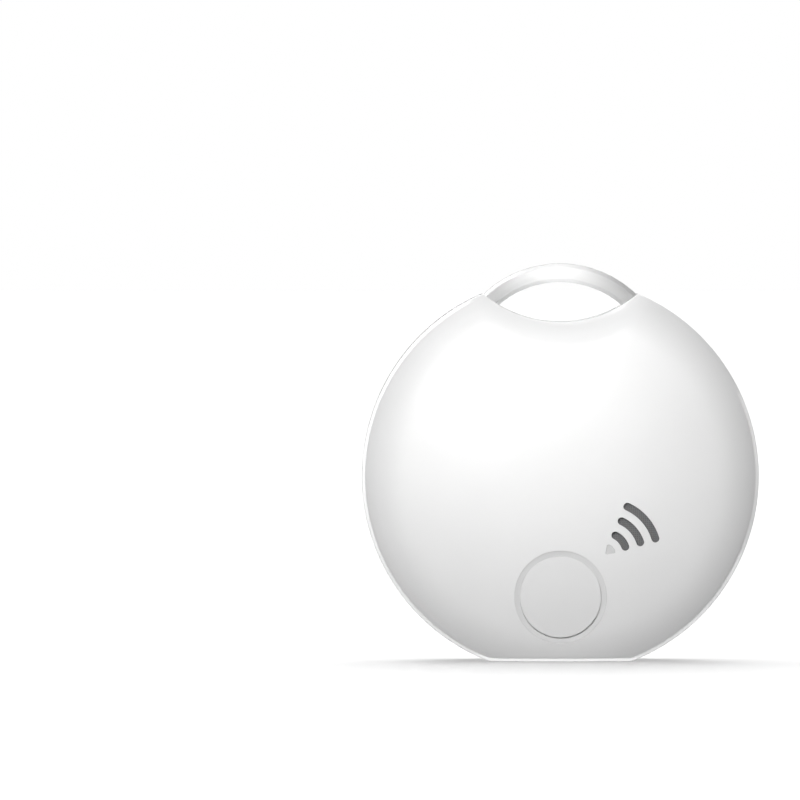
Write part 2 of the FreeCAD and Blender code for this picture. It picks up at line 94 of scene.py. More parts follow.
# Covers
SKIN = 1.2
GRILLE = 0.5  # skin in front of the sounder's mesh
WALL = 1.2
CROWN_RADIUS = 17.9
EDGE_DROP = 1.15
CHAMFER = 0.4
NOTCH_ROLL = 3.0
NOTCH_DROP = 1.1
SOFT = 0.09  # radius of the moulded edges
CRISP = 0.025  # radius of the edges of its holes
HOLE_MARGIN = 0.3  # of face round a large hole, for the bend of its edge
SMALL_HOLE_MARGIN = 0.2

# Loop frame
FRAME_FRONT = 2.9
FRAME_BACK = 5.9
SEAM = 0.05
RING_OUTER = 0.1  # how far the ring's outer side lies inside the outline
RING_INNER = 2.0
RING_EDGE = 0.08
HOOP_SETBACK = 0.1  # from the frame's front and back
HOOP_CROWN = 0.1
HOOP_CROWN_BEND = 0.5
HOOP_HALF_SPAN = 7.2
HOOP_EDGE = 0.06
SHARP_ANGLE = math.radians(40)  # steeper edges of the frame are shaded sharp

# Button and membrane
MEMBRANE_LOW, MEMBRANE_HIGH = box_mm("button_membrane")
BUTTON_RISE = (MEMBRANE_LOW.z + MEMBRANE_HIGH.z) / 2 - AXIS_HEIGHT
BUTTON_HOLE = 5.24
BUTTON_RADIUS = 4.59
BUTTON_EDGE = 0.012
MEMBRANE_INNER = 4.6
MEMBRANE_OUTER = 5.9
MEMBRANE_CLEARANCE = 0.01
MEMBRANE_FRONT = 0.09
MEMBRANE_DISH = 0.17
MEMBRANE_THICKNESS = 0.3
MEMBRANE_EDGES = (0.02, 0.005)  # radius of its inner and its outer edge
MEMBRANE_SEAT = 1.9
SEAT_WIDTH = 0.7
FLANGE_RADIUS = 5.15
FLANGE_FRONT = MEMBRANE_SEAT + 0.4  # behind the membrane's foot
FLANGE_THICKNESS = 0.3
RECESS_RADIUS = 3.2
RECESS_DEPTH = 1.5
POST_RADIUS = 1.2
POST_DEPTH = 2.05

# Sound slots and status light
ICON = (5.17, -8.69)
ICON_ANGLE = math.radians(41.3)
SLOT_WIDTH = 0.88
SOUNDER = (10.0, -4.0)
POCKET_RADIUS = 5.45
SLOTS = [(2.29, 21.8), (4.055, 23.1), (5.82, 24.4)]  # mean radius, half span in degrees
WINDOW_ANGLE = math.radians(44)
WINDOW_RADIUS = 1.17
WINDOW_HALF_SPAN = math.radians(35)
WINDOW_SETBACK = 0.16
WINDOW_CORNER = 0.22
WINDOW_RECESS = 0.1
WINDOW_CLEARANCE = 0.01
WINDOW_EDGE = 0.03
WINDOW_RIM = 0.08  # width of the rim of its face
WINDOW_MARGIN = 0.18  # of the cover's face round it

# Rear
DOOR_LOW, DOOR_HIGH = box_mm("battery_door")
DOOR_RADIUS = (DOOR_HIGH.x - DOOR_LOW.x) / 2
DOOR_GAP = 0.2
DOOR_SEAT = 1.0
DOOR_LEDGE = 0.9
DOOR_THICKNESS = 0.9
DOOR_INSIDE = 1.4
DOOR_RIM = 0.6  # width of the rim of its face
DOOR_EDGES = (0.15, 0.08)  # radius of its outer and its inner edge
PLUG_RADIUS = 12.1
PLUG_BORE = 10.6
PLUG_END = 2.7
PLUG_RIM = 1.0  # width of the rim of the floor of its hollow
COIN_SLOT = (15.0, 1.8, 0.7)  # length, width and depth
COIN_SLOT_EDGES = (0.12, 0.1)  # radius of its rim and of its foot
COIN_SLOT_MARGIN = 0.25  # of the door's face round it
COIN_SLOT_RIM = 0.15  # width of the rim of its floor
SCREW_CIRCLE = 17.3
SCREW_ANGLES = [math.radians(degrees) for degrees in (20, 160, 222, 318)]
SCREW_RADII = (1.6, 0.95, 2.3)  # of the counterbore, the shaft's hole and the boss
SCREW_SEAT = 2.0
BOSS_END = 3.0

# Fineness of the meshes: points along each line, rows of points on the faces, steps of a bend, and the
# spacing of the nets that close the faces
NOTCH_POINTS = 28  # as the next four, on the right half of the outline
TIP_POINTS = 6
SIDE_POINTS = 130
FOOT_POINTS = 5
BASE_POINTS = 20
HOOP_POINTS = 97
BUTTON_POINTS = 128
DOOR_POINTS = 192
SCREW_POINTS = 48
SLOT_OUTER_POINTS = 25
SLOT_INNER_POINTS = 19
SLOT_END_POINTS = 13
WINDOW_POINTS = 9
WINDOW_CORNER_POINTS = 6
COIN_SLOT_END_POINTS = 17
FACE_INSETS = np.linspace(1.6, 0.65, 5)  # from the outline
CAP_RADII = np.linspace(0.5, 4.2, 12)
BEND_STEPS = 4
FACE_NET = 0.55
INSIDE_NET = 2.0
COIN_SLOT_NET = 0.5
DOOR_NET = 0.8
NET_ROW = 0.866  # from one row of a net to the next, as a part of its spacing
NET_GAP = 0.6  # least distance of a net from the rims, as a part of its spacing
NET_PRECISION = 1e-7
NEAR_MIDDLE = 0.45  # how much of a side a bend may use


# ---------------------------------------------------------------- loops and skins

def arc(centre, radius, start, end, count):
    """Points along an arc, both ends included."""
    angle = np.linspace(start, end, count)
    return np.column_stack((centre[0] + radius * np.cos(angle), centre[1] + radius * np.sin(angle)))


def circle(radius, centre=(0, 0), count=96):
    return arc(centre, radius, 0, 2 * math.pi * (1 - 1 / count), count)


def outline(inset):
    """The body's outline moved inwards: notch, tips, round sides and base flat, with small round corners."""
    inner = BODY_RADIUS - inset - CORNER
    tip_rise = (inner ** 2 - (NOTCH_RADIUS + inset + CORNER) ** 2 + NOTCH_RISE ** 2) / (2 * NOTCH_RISE)
    tip = (math.sqrt(inner ** 2 - tip_rise ** 2), tip_rise)
    foot_rise = inset + CORNER - BASE_DROP
    foot = (math.sqrt(inner ** 2 - foot_rise ** 2), foot_rise)
    to_notch = math.atan2(NOTCH_RISE - tip[1], -tip[0])
    tip_angle = math.atan2(tip[1], tip[0])
    foot_angle = math.atan2(foot[1], foot[0])
    down = -math.pi / 2
    base = np.column_stack((np.linspace(foot[0], 0, BASE_POINTS), np.full(BASE_POINTS, inset - BASE_DROP)))
    right = np.vstack((
        arc((0, NOTCH_RISE), NOTCH_RADIUS + inset, down, to_notch - math.pi, NOTCH_POINTS)[:-1],
        arc(tip, CORNER, to_notch, tip_angle, TIP_POINTS)[:-1],
        arc((0, 0), BODY_RADIUS - inset, tip_angle, foot_angle, SIDE_POINTS)[:-1],
        arc(foot, CORNER, foot_angle, down, FOOT_POINTS)[:-1],
        base,
    ))
    left = right[-2:0:-1] * (-1, 1)
    return np.vstack((right, left))


def grown(loop, extra):
    """A closed flat loop moved outwards, or inwards where extra is negative."""
    along = np.roll(loop, -1, axis=0) - np.roll(loop, 1, axis=0)
    normal = np.column_stack((along[:, 1], -along[:, 0]))
    normal /= np.linalg.norm(normal, axis=1)[:, None]
    x, y = loop.T
    anticlockwise = np.sign(np.dot(x, np.roll(y, -1)) - np.dot(y, np.roll(x, -1)))
    return loop + normal * extra * anticlockwise


def at(loop, depth):
    """A flat loop set at a depth, which is one number or one for each point."""
    return np.column_stack((loop, np.broadcast_to(depth, len(loop))))


def towards(start, end, distance):
    """Points a distance from start on the way to end, but short of the middle."""
    step = end - start
    length = np.linalg.norm(step, axis=1)[:, None]
    return start + step / length * np.minimum(distance, NEAR_MIDDLE * length)


def rounded(loops, radii):
    """The loops with a soft bend in place of each middle one whose radius isn't zero."""
    result = [loops[0]]
    for before, corner, after, radius in zip(loops, loops[1:], loops[2:], radii):
        if radius == 0:
            result.append(corner)
            continue
        start, end = towards(corner, before, radius), towards(corner, after, radius)
        result.append(towards(start, before, radius / 2))
        for step in range(BEND_STEPS + 1):
            part = step / BEND_STEPS
            result.append((1 - part) ** 2 * start + 2 * part * (1 - part) * corner + part ** 2 * end)
        result.append(towards(end, after, radius / 2))
    return result + [loops[-1]]


def inside(points, loop):
    """Which points lie inside a closed flat loop."""
    x, y = points[:, :1], points[:, 1:2]
    x1, y1 = loop[:, 0], loop[:, 1]
    x2, y2 = np.roll(x1, -1), np.roll(y1, -1)
    crosses = (y1 > y) != (y2 > y)
    with np.errstate(divide="ignore", invalid="ignore"):
        where = x1 + (y - y1) / (y2 - y1) * (x2 - x1)
    return (np.sum(crosses & (x < where), axis=1) % 2).astype(bool)


def face_depth(points):
    """How deep a cover's face lies at each flat point: it rolls off to its rim and to the notch."""
    def roll(over, width, drop):
        radius = (width ** 2 + drop ** 2) / (2 * drop)
        return radius - np.sqrt(radius ** 2 - np.clip(over, 0, width) ** 2)

    x, y = points.T
    past_crown = np.hypot(x, y) - CROWN_RADIUS
    past_notch = NOTCH_RADIUS + CHAMFER + NOTCH_ROLL - np.hypot(x, y - NOTCH_RISE)
    rim_drop = roll(past_crown, BODY_RADIUS - CHAMFER - CROWN_RADIUS, EDGE_DROP)
    return np.hypot(rim_drop, roll(past_notch, NOTCH_ROLL, NOTCH_DROP))


def level(depth):
    """A flat surface at one depth."""
    return lambda points: np.full(len(points), depth)


class Skin:
    """A mesh grown from closed loops of points."""

    def __init__(self):
        self.points = []
        self.faces = []

    def add(self, loop):
        first = len(self.points)
        self.points.extend(np.asarray(loop, float))
        return list(range(first, first + len(loop)))

    def bridge(self, near, far):
        for here in range(len(near)):
            after = (here + 1) % len(near)
            self.faces.append((near[here], near[after], far[after], far[here]))

    def stack(self, loops, closed=False):
        """Joins each loop to the next, and returns the first and last as they are numbered in the mesh."""
        rows = [self.add(loop) for loop in loops]
        for near, far in zip(rows, rows[1:]):
            self.bridge(near, far)
        if closed:
            self.bridge(rows[-1], rows[0])
        return rows[0], rows[-1]

    def cap(self, row):
        """Closes a loop with a fan about its middle."""
        middle = self.add([np.mean([self.points[i] for i in row], axis=0)])[0]
        for here in range(len(row)):
            self.faces.append((row[here], row[(here + 1) % len(row)], middle))

    def fill(self, outer, holes, surface, spacing):
        """Closes the area between an outer loop and its holes with an even net of triangles on a surface."""
        rims = [np.array([self.points[i][:2] for i in row]) for row in (outer, *holes)]
        low, high = rims[0].min(axis=0), rims[0].max(axis=0)
        x, y = np.meshgrid(np.arange(low[0], high[0], spacing), np.arange(low[1], high[1], spacing * NET_ROW))
        x[::2] += spacing / 2
        net = np.column_stack((x.ravel(), y.ravel()))

        def within(points):
            in_hole = [inside(points, rim) for rim in rims[1:]]
            return inside(points, rims[0]) & ~np.any(in_hole or [False], axis=0)

        net = net[within(net)]
        gap = np.min(np.linalg.norm(net[:, None] - np.vstack(rims)[None], axis=2), axis=1)
        net = net[gap > NET_GAP * spacing]
        edges = []
        for rim in rims:
            first = len(edges)
            edges += [(first + here, first + (here + 1) % len(rim)) for here in range(len(rim))]
        corners = np.vstack((*rims, net))
        plain = 0
        result = delaunay_2d_cdt([Vector(p) for p in corners], edges, [], plain, NET_PRECISION)
        flat, _, triangles, origins = result[:4]
        known = [i for row in (outer, *holes) for i in row] + self.add(at(net, surface(net)))
        flat = np.array(flat)
        middles = np.array([flat[list(triangle)].mean(axis=0) for triangle in triangles])
        for triangle, keep in zip(triangles, within(middles)):
            if keep:
                self.faces.append(tuple(known[origins[corner][0]] for corner in triangle))

    def build(self, name, material, from_rear=False):
        """The object with this mesh, its normals outwards. Depths are counted from the rear face if asked."""
        points = np.array(self.points)
        if from_rear:
            points[:, 2] = THICKNESS - points[:, 2]
        row = np.column_stack((points[:, 0], points[:, 2] - THICKNESS / 2, points[:, 1] + AXIS_HEIGHT)) * MM
        mesh = bpy.data.meshes.new(name)
        mesh.from_pydata([tuple(p) for p in row], [], self.faces)
        work = bmesh.new()
        work.from_mesh(mesh)
        bmesh.ops.recalc_face_normals(work, faces=work.faces)
        for face in work.faces:
            face.smooth = True
        work.to_mesh(mesh)
        work.free()
        mesh.materials.append(material)
        piece = bpy.data.objects.new(name, mesh)
        bpy.context.scene.collection.objects.link(piece)
        return piece


def fit_out(piece, body, slot, *nodes):
    """Lets a new piece ride on its body in place of its CAD nodes."""
    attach(piece, body)
    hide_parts(*nodes)


# ---------------------------------------------------------------- materials

# Most of a noise lies between these
NOISE_LOW = 0.3
NOISE_HIGH = 0.7

# Fineness of the patterns, in spots for each metre, and the pitch of the mesh's threads in metres
CLOUD_SCALE = 60
WEAR_SCALE = 260
GRAIN_SCALE = 9000
BRUSHED_SCALE = (900, 900, 12000)
EVEN_SCALE = (2500, 2500, 2500)
THREAD_PITCH = 0.00022

# Height of their relief in metres
GRAIN_HEIGHT = 0.00002
MARK_HEIGHT = 0.00001
THREAD_HEIGHT = 0.00004

MARK_SHADE = 0.9  # a metal's marks, as a part of its colour
PINHOLE_COLOUR = (0.13, 0.13, 0.132)
THREAD_COLOUR = (0.19, 0.19, 0.192)


def new_material(name):
    """A material and its shader, with one function that adds a node and one that links to the shader. Inputs
    of a node are given by name, or as i0, i1 and so on."""
    material = bpy.data.materials.new(name)
    material.use_nodes = True
    tree = material.node_tree
    shader = tree.nodes["Principled BSDF"]

    def add(kind, settings=None, **inputs):
        node = tree.nodes.new(kind)
        for key, value in (settings or {}).items():
            setattr(node, key, value)
        for key, value in inputs.items():
            numbered = key[0] == "i" and key[1:].isdigit()
            socket = node.inputs[int(key[1:]) if numbered else key.replace("_", " ")]
            if isinstance(value, bpy.types.NodeSocket):
                tree.links.new(value, socket)
            else:
                socket.default_value = value
        return node

    def link(value, socket):
        tree.links.new(value, shader.inputs[socket])

    return material, shader, add, link


def ramp(add, value, low, high, start=NOISE_LOW, end=NOISE_HIGH):
    """A colour that runs from low to high."""
    node = add("ShaderNodeValToRGB", Fac=value)
    node.color_ramp.elements[0].position = start
    node.color_ramp.elements[0].color = (*low, 1)
    node.color_ramp.elements[1].position = end
    node.color_ramp.elements[1].color = (*high, 1)
    return node.outputs["Color"]


def uneven_gloss(add, link, noise, roughness):
    """A roughness that runs from one end of a range to the other."""
    gloss = add("ShaderNodeMapRange", Value=noise, From_Min=NOISE_LOW, From_Max=NOISE_HIGH,
                To_Min=roughness[0], To_Max=roughness[1])
    link(gloss.outputs["Result"], "Roughness")


def relief(add, link, pattern, strength, height):
    """A fine relief in the surface."""
    bump = add("ShaderNodeBump", Strength=strength, Distance=height, Height=pattern)
    link(bump.outputs["Normal"], "Normal")


def moulded(name, colour, spread=0.02, roughness=(0.3, 0.38), grain=0.02, grain_scale=GRAIN_SCALE, coat=0.0,
            specular=0.5):
    """Moulded plastic or rubber: faint clouding, uneven gloss and a fine spark-eroded grain."""
    material, shader, add, link = new_material(name)
    place = add("ShaderNodeTexCoord").outputs["Object"]
    cloud = add("ShaderNodeTexNoise", Vector=place, Scale=CLOUD_SCALE, Detail=3)
    low = tuple(c * (1 - spread) for c in colour)
    high = tuple(min(1, c * (1 + spread)) for c in colour)
    link(ramp(add, cloud.outputs["Fac"], low, high), "Base Color")
    wear = add("ShaderNodeTexNoise", Vector=place, Scale=WEAR_SCALE, Detail=6)
    uneven_gloss(add, link, wear.outputs["Fac"], roughness)
    fine = add("ShaderNodeTexNoise", Vector=place, Scale=grain_scale, Detail=2)
    relief(add, link, fine.outputs["Fac"], grain, GRAIN_HEIGHT)
    shader.inputs["Coat Weight"].default_value = coat
    shader.inputs["Coat Roughness"].default_value = 0.12
    shader.inputs["Specular IOR Level"].default_value = specular
    return material


def metal(name, colour, roughness=(0.22, 0.36), brushed=True):
    """Plated or rolled metal with fine marks, which run one way where it is brushed."""
    material, shader, add, link = new_material(name)
    place = add("ShaderNodeTexCoord").outputs["Object"]
    lines = add("ShaderNodeMapping", Vector=place, Scale=BRUSHED_SCALE if brushed else EVEN_SCALE)
    marks = add("ShaderNodeTexNoise", Vector=lines.outputs["Vector"], Scale=1, Detail=4).outputs["Fac"]
    link(ramp(add, marks, tuple(c * MARK_SHADE for c in colour), colour), "Base Color")
    uneven_gloss(add, link, marks, roughness)
    relief(add, link, marks, 0.1, MARK_HEIGHT)
    shader.inputs["Metallic"].default_value = 1.0
    return material


def woven(name):
    """Dark acoustic mesh: two crossing sets of fine threads with pinholes between them."""
    material, shader, add, link = new_material(name)
    place = add("ShaderNodeTexCoord").outputs["Object"]
    part = add("ShaderNodeSeparateXYZ", Vector=place)
    threads = []
    for axis in ("X", "Z"):
        turns = add("ShaderNodeMath", {"operation": "MULTIPLY"}, i0=part.outputs[axis],
                    i1=2 * math.pi / THREAD_PITCH)
        wave = add("ShaderNodeMath", {"operation": "SINE"}, i0=turns.outputs[0])
        threads.append(wave.outputs[0])
    weave = add("ShaderNodeMath", {"operation": "MAXIMUM"}, i0=threads[0], i1=threads[1]).outputs[0]
    link(ramp(add, weave, PINHOLE_COLOUR, THREAD_COLOUR, start=0.0, end=0.9), "Base Color")
    relief(add, link, weave, 0.6, THREAD_HEIGHT)
    shader.inputs["Roughness"].default_value = 0.6
    return material


WHITE = (0.80, 0.80, 0.80)
shell_white = moulded("shell_white", WHITE, coat=1.0)
frame_white = moulded("frame_white", WHITE, roughness=(0.36, 0.44), grain=0.05, coat=1.0)
button_white = moulded("button_white", (0.74, 0.74, 0.74), roughness=(0.4, 0.5), grain=0.06)
silicone_grey = moulded("silicone_grey", (0.67, 0.67, 0.67), roughness=(0.5, 0.62), grain=0.08,
                        specular=0.35)
window_grey = moulded("window_grey", (0.62, 0.62, 0.62), roughness=(0.25, 0.35), grain=0.05)
black_plastic = moulded("black_plastic", (0.03, 0.03, 0.032), spread=0.1, roughness=(0.4, 0.55), grain=0.1)
black_rubber = moulded("black_rubber", (0.02, 0.02, 0.02), spread=0.1, roughness=(0.6, 0.75), grain=0.2)
foam_black = moulded("foam_black", (0.04, 0.04, 0.04), spread=0.3, roughness=(0.8, 0.9), grain=0.6,
                     grain_scale=5000)
board_green = moulded("board_green", (0.012, 0.11, 0.06), spread=0.15, roughness=(0.25, 0.4), grain=0.1)
ceramic_cream = moulded("ceramic_cream", (0.66, 0.63, 0.56), spread=0.05, roughness=(0.35, 0.5), grain=0.1)
ceramic_brown = moulded("ceramic_brown", (0.28, 0.18, 0.11), spread=0.1, roughness=(0.35, 0.5), grain=0.1)
gasket_clear = moulded("gasket_clear", (0.5, 0.52, 0.55), roughness=(0.3, 0.4), grain=0.05)
powder_black = moulded("powder_black", (0.03, 0.03, 0.03), spread=0.3, roughness=(0.8, 0.95), grain=0.6)
lithium_grey = metal("lithium_grey", (0.55, 0.56, 0.58), roughness=(0.5, 0.6), brushed=False)
mesh_dark = woven("mesh_dark")
brass = metal("brass", (0.80, 0.60, 0.30))
steel = metal("steel", (0.62, 0.62, 0.63))
gold_strip = metal("gold_strip", (0.83, 0.66, 0.36), brushed=False)

CAD_MATERIALS = {
    "front_seal": black_rubber,
    "rear_seal": black_rubber,
    "tactile_switch": steel,
    "switch_plunger": black_plastic,
    "sound_mesh": mesh_dark,
    "sounder_foam_ring": foam_black,
    "sounder_plate": brass,
    "sounder_ceramic": ceramic_cream,
    "sounder_contacts": gold_strip,
    "status_led": ceramic_cream,
    "main_board": board_green,
    "radio_shield": steel,
    "radio_chip": black_plastic,
    "chip_antenna": ceramic_cream,
    "clock_crystal": steel,
    "chip_capacitors": ceramic_brown,
    "housing_screws": steel,
    "cell_can": steel,
    "cell_gasket": gasket_clear,
    "cell_cap": steel,
    "cell_anode": lithium_grey,
    "cell_cathode": powder_black,
    "cell_holder": black_plastic,
    "negative_contact": gold_strip,
    "positive_contact": gold_strip,
    "door_o_ring": black_rubber,
}
for node, material in CAD_MATERIALS.items():
    for slot in frame["nodes"][node].material_slots:
        slot.material = material


# ---------------------------------------------------------------- shapes seen from the front

def slot_loop(radius, half_span):
    """An arc slot with round ends, centred on the icon's direction."""
    half = math.radians(half_span)
    start, end = ICON_ANGLE - half, ICON_ANGLE + half
    first = (ICON[0] + radius * math.cos(start), ICON[1] + radius * math.sin(start))
    last = (ICON[0] + radius * math.cos(end), ICON[1] + radius * math.sin(end))
    width = SLOT_WIDTH / 2
    return np.vstack((
        arc(ICON, radius + width, start, end, SLOT_OUTER_POINTS)[:-1],
        arc(last, width, end, end + math.pi, SLOT_END_POINTS)[:-1],
        arc(ICON, radius - width, end, start, SLOT_INNER_POINTS)[:-1],
        arc(first, width, start + math.pi, start + 2 * math.pi, SLOT_END_POINTS)[:-1],
    ))


def window_loop():
    """The rounded sector of the status light."""
    apex = np.array(ICON) - WINDOW_SETBACK * np.array((math.cos(WINDOW_ANGLE), math.sin(WINDOW_ANGLE)))
    start, end = WINDOW_ANGLE - WINDOW_HALF_SPAN, WINDOW_ANGLE + WINDOW_HALF_SPAN
    soft = WINDOW_CORNER / WINDOW_RADIUS
    far = arc(apex, WINDOW_RADIUS, start + soft, end - soft, WINDOW_POINTS)

    def along(angle, distance):
        return apex + distance * np.array((math.cos(angle), math.sin(angle)))

    def bend(begin, corner, finish):
        part = np.linspace(0, 1, WINDOW_CORNER_POINTS)[:, None]
        return (1 - part) ** 2 * begin + 2 * part * (1 - part) * corner + part ** 2 * finish

    reach = WINDOW_RADIUS - WINDOW_CORNER
    return np.vstack((
        bend(along(start, reach), along(start, WINDOW_RADIUS), far[0])[:-1],
        far[:-1],
        bend(far[-1], along(end, WINDOW_RADIUS), along(end, reach))[:-1],
        bend(along(end, WINDOW_CORNER), apex, along(start, WINDOW_CORNER)),
    ))


def bored(skin, rim, margin, below):
    """A hole in a face: a loop on the face round its rim, a soft edge, then the loops below it. Returns its
    first and last row."""
    lip = grown(rim, margin)
    loops = [at(lip, face_depth(lip)), at(rim, face_depth(rim)), *below]
    return skin.stack(rounded(loops, [CRISP] + [0] * (len(loops) - 3)))


def cover(back, holes, slots=()):
    """A domed cover with its chamfer, its wall and its inside. Each hole lists its rim, the margin of face
    round it and the loops below it. The slots are holes too, but open into the sounder's pocket."""
    skin = Skin()
    face = [outline(inset) for inset in FACE_INSETS]
    edge, outer, inner = outline(CHAMFER), outline(0), outline(WALL)
    drop = face_depth(edge)
    loops = [at(loop, face_depth(loop)) for loop in face] + [
        at(edge, drop),
        at(outer, drop + CHAMFER),
        at(outer, back),
        at(inner, back),
        at(inner, face_depth(inner) + SKIN),
    ]
    edges = [0] * (len(face) - 1) + [SOFT, SOFT, SOFT / 2, 0]
    first, last = skin.stack(rounded(loops, edges))
    rows = [bored(skin, *hole) for hole in holes]
    openings = [bored(skin, *slot) for slot in slots]
    skin.fill(first, [row[0] for row in rows + openings], face_depth, FACE_NET)
    behind = [row[1] for row in rows]
    if slots:
        pocket = circle(POCKET_RADIUS, SOUNDER)
        ceiling, mouth = skin.stack([at(pocket, GRILLE), at(pocket, SKIN)])
        skin.fill(ceiling, [row[1] for row in openings], level(GRILLE), INSIDE_NET)
        behind.append(mouth)
    skin.fill(last, behind, lambda points: face_depth(points) + SKIN, INSIDE_NET)
    return skin


def through(rim):
    """The last loop of a hole that goes straight through a cover."""
    return [at(rim, face_depth(rim) + SKIN)]


def make_front_cover():
    centre = (0, BUTTON_RISE)
    hole = circle(BUTTON_HOLE, centre, BUTTON_POINTS)
    seat = circle(BUTTON_HOLE + SEAT_WIDTH, centre, BUTTON_POINTS)
    below = [at(hole, MEMBRANE_SEAT), at(seat, MEMBRANE_SEAT), at(seat, face_depth(seat) + SKIN)]
    holes = [(hole, HOLE_MARGIN, below)]
    slots = []
    for radius, half_span in SLOTS:
        rim = slot_loop(radius, half_span)
        slots.append((rim, SMALL_HOLE_MARGIN, [at(rim, GRILLE)]))
    window = grown(window_loop(), WINDOW_CLEARANCE)
    holes.append((window, WINDOW_MARGIN, through(window)))
    piece = cover(FRAME_FRONT - SEAM, holes, slots).build("front_cover_skin", shell_white)
    fit_out(piece, "root", "white_shell", "front_cover")


def button_ring(radius, depth=None):
    """A circle about the button's middle, on the cover's face where no depth is given."""
    loop = circle(radius, (0, BUTTON_RISE), BUTTON_POINTS)
    return at(loop, face_depth(loop) if depth is None else depth)


def make_button():
    face = [button_ring(radius) for radius in CAP_RADII]
    flange_back = FLANGE_FRONT + FLANGE_THICKNESS
    profile = [(BUTTON_RADIUS, None), (BUTTON_RADIUS, FLANGE_FRONT), (FLANGE_RADIUS, FLANGE_FRONT),
               (FLANGE_RADIUS, flange_back), (RECESS_RADIUS, flange_back), (RECESS_RADIUS, RECESS_DEPTH),
               (POST_RADIUS, RECESS_DEPTH), (POST_RADIUS, POST_DEPTH)]
    loops = face + [button_ring(radius, depth) for radius, depth in profile]
    edges = [0] * (len(face) - 1) + [BUTTON_EDGE] + [0] * (len(profile) - 2)
    skin = Skin()
    for end in skin.stack(rounded(loops, edges)):
        skin.cap(end)
    fit_out(skin.build("button_cap_skin", button_white), "button", "white_button", "button_cap")


def make_membrane():
    """The ring round the button, dished towards its inner edge, with its foot under the cover."""
    outer = BUTTON_HOLE - MEMBRANE_CLEARANCE
    back = MEMBRANE_SEAT + MEMBRANE_THICKNESS
    profile = [(MEMBRANE_INNER, MEMBRANE_FRONT + MEMBRANE_DISH), (outer, MEMBRANE_FRONT),
               (outer, MEMBRANE_SEAT), (MEMBRANE_OUTER, MEMBRANE_SEAT),
               (MEMBRANE_OUTER, back), (MEMBRANE_INNER, back)]
    loops = [button_ring(radius, depth) for radius, depth in profile]
    edges = [*MEMBRANE_EDGES, 0, 0, 0, 0]
    skin = Skin()
    skin.stack(rounded([loops[-1], *loops, loops[0]], edges)[1:-1], closed=True)
    fit_out(skin.build("button_membrane_skin", silicone_grey), "root", "silicone", "button_membrane")


def make_light_guide():
    rim = window_loop()
    inner = grown(rim, -WINDOW_RIM)
    back = box_mm("light_guide")[1].y + THICKNESS / 2
    loops = [at(inner, WINDOW_RECESS), at(rim, WINDOW_RECESS), at(rim, back)]
    skin = Skin()
    for end in skin.stack(rounded(loops, [WINDOW_EDGE])):
        skin.cap(end)
    fit_out(skin.build("light_guide_skin", window_grey), "root", "light_window", "light_guide")


def unite(piece, other):
    """Joins another closed piece to this one and removes the other."""
    modifier = piece.modifiers.new("union", "BOOLEAN")
    modifier.operation = "UNION"
    modifier.solver = "EXACT"
    modifier.object = other
    bpy.context.view_layer.update()
    graph = bpy.context.evaluated_depsgraph_get()
    mesh = bpy.data.meshes.new_from_object(piece.evaluated_get(graph))
    piece.modifiers.clear()
    piece.data = mesh
    bpy.data.objects.remove(other)
    mesh.set_sharp_from_angle(angle=SHARP_ANGLE)


def make_frame_ring():
    """The ring between the covers."""
    outer, inner = outline(RING_OUTER), outline(RING_INNER)
    corners = [at(inner, FRAME_FRONT), at(outer, FRAME_FRONT), at(outer, FRAME_BACK), at(inner, FRAME_BACK)]
    skin = Skin()
    skin.stack(rounded(corners, [RING_EDGE, RING_EDGE]), closed=True)
    return skin.build("loop_frame_skin", frame_white)


def make_hoop():
    """The hoop that arches over the notch, with a crowned front and back and a chamfer on each edge."""
    front, back = FRAME_FRONT + HOOP_SETBACK, FRAME_BACK - HOOP_SETBACK
    middle = (LOOP_INNER + LOOP_OUTER) / 2
    half = [(LOOP_INNER, HOOP_CROWN + CHAMFER), (LOOP_INNER + CHAMFER, HOOP_CROWN), (middle, 0),
            (LOOP_OUTER - CHAMFER, HOOP_CROWN), (LOOP_OUTER, HOOP_CROWN + CHAMFER)]
    profile = [(radius, front + drop) for radius, drop in half]
    profile += [(radius, back - drop) for radius, drop in reversed(half)]
    root = math.asin(HOOP_HALF_SPAN / middle)
    stations = arc((0, 0), 1, root, math.pi - root, HOOP_POINTS)
    lines = [at(stations * radius + (0, LOOP_RISE), depth) for radius, depth in profile]
    edges = [HOOP_EDGE, HOOP_EDGE, HOOP_CROWN_BEND, HOOP_EDGE, HOOP_EDGE] * 2
    skin = Skin()
    rows = [skin.add(line) for line in rounded([lines[-1], *lines, lines[0]], edges)[1:-1]]
    for near, far in zip(rows, rows[1:] + rows[:1]):
        for here in range(len(stations) - 1):
            skin.faces.append((near[here], near[here + 1], far[here + 1], far[here]))
    skin.cap([row[0] for row in rows])
    skin.cap([row[-1] for row in rows])
    return skin.build("hoop", frame_white)


def make_frame():
    frame_piece = make_frame_ring()
    unite(frame_piece, make_hoop())
    fit_out(frame_piece, "root", "white_shell", "loop_frame")


# ---------------------------------------------------------------- shapes seen from behind

def stadium(length, width):
    """A straight slot with round ends."""
    half, radius = (length - width) / 2, width / 2
    return np.vstack((
        arc((half, 0), radius, -math.pi / 2, math.pi / 2, COIN_SLOT_END_POINTS),
        arc((-half, 0), radius, math.pi / 2, 3 * math.pi / 2, COIN_SLOT_END_POINTS),
    ))


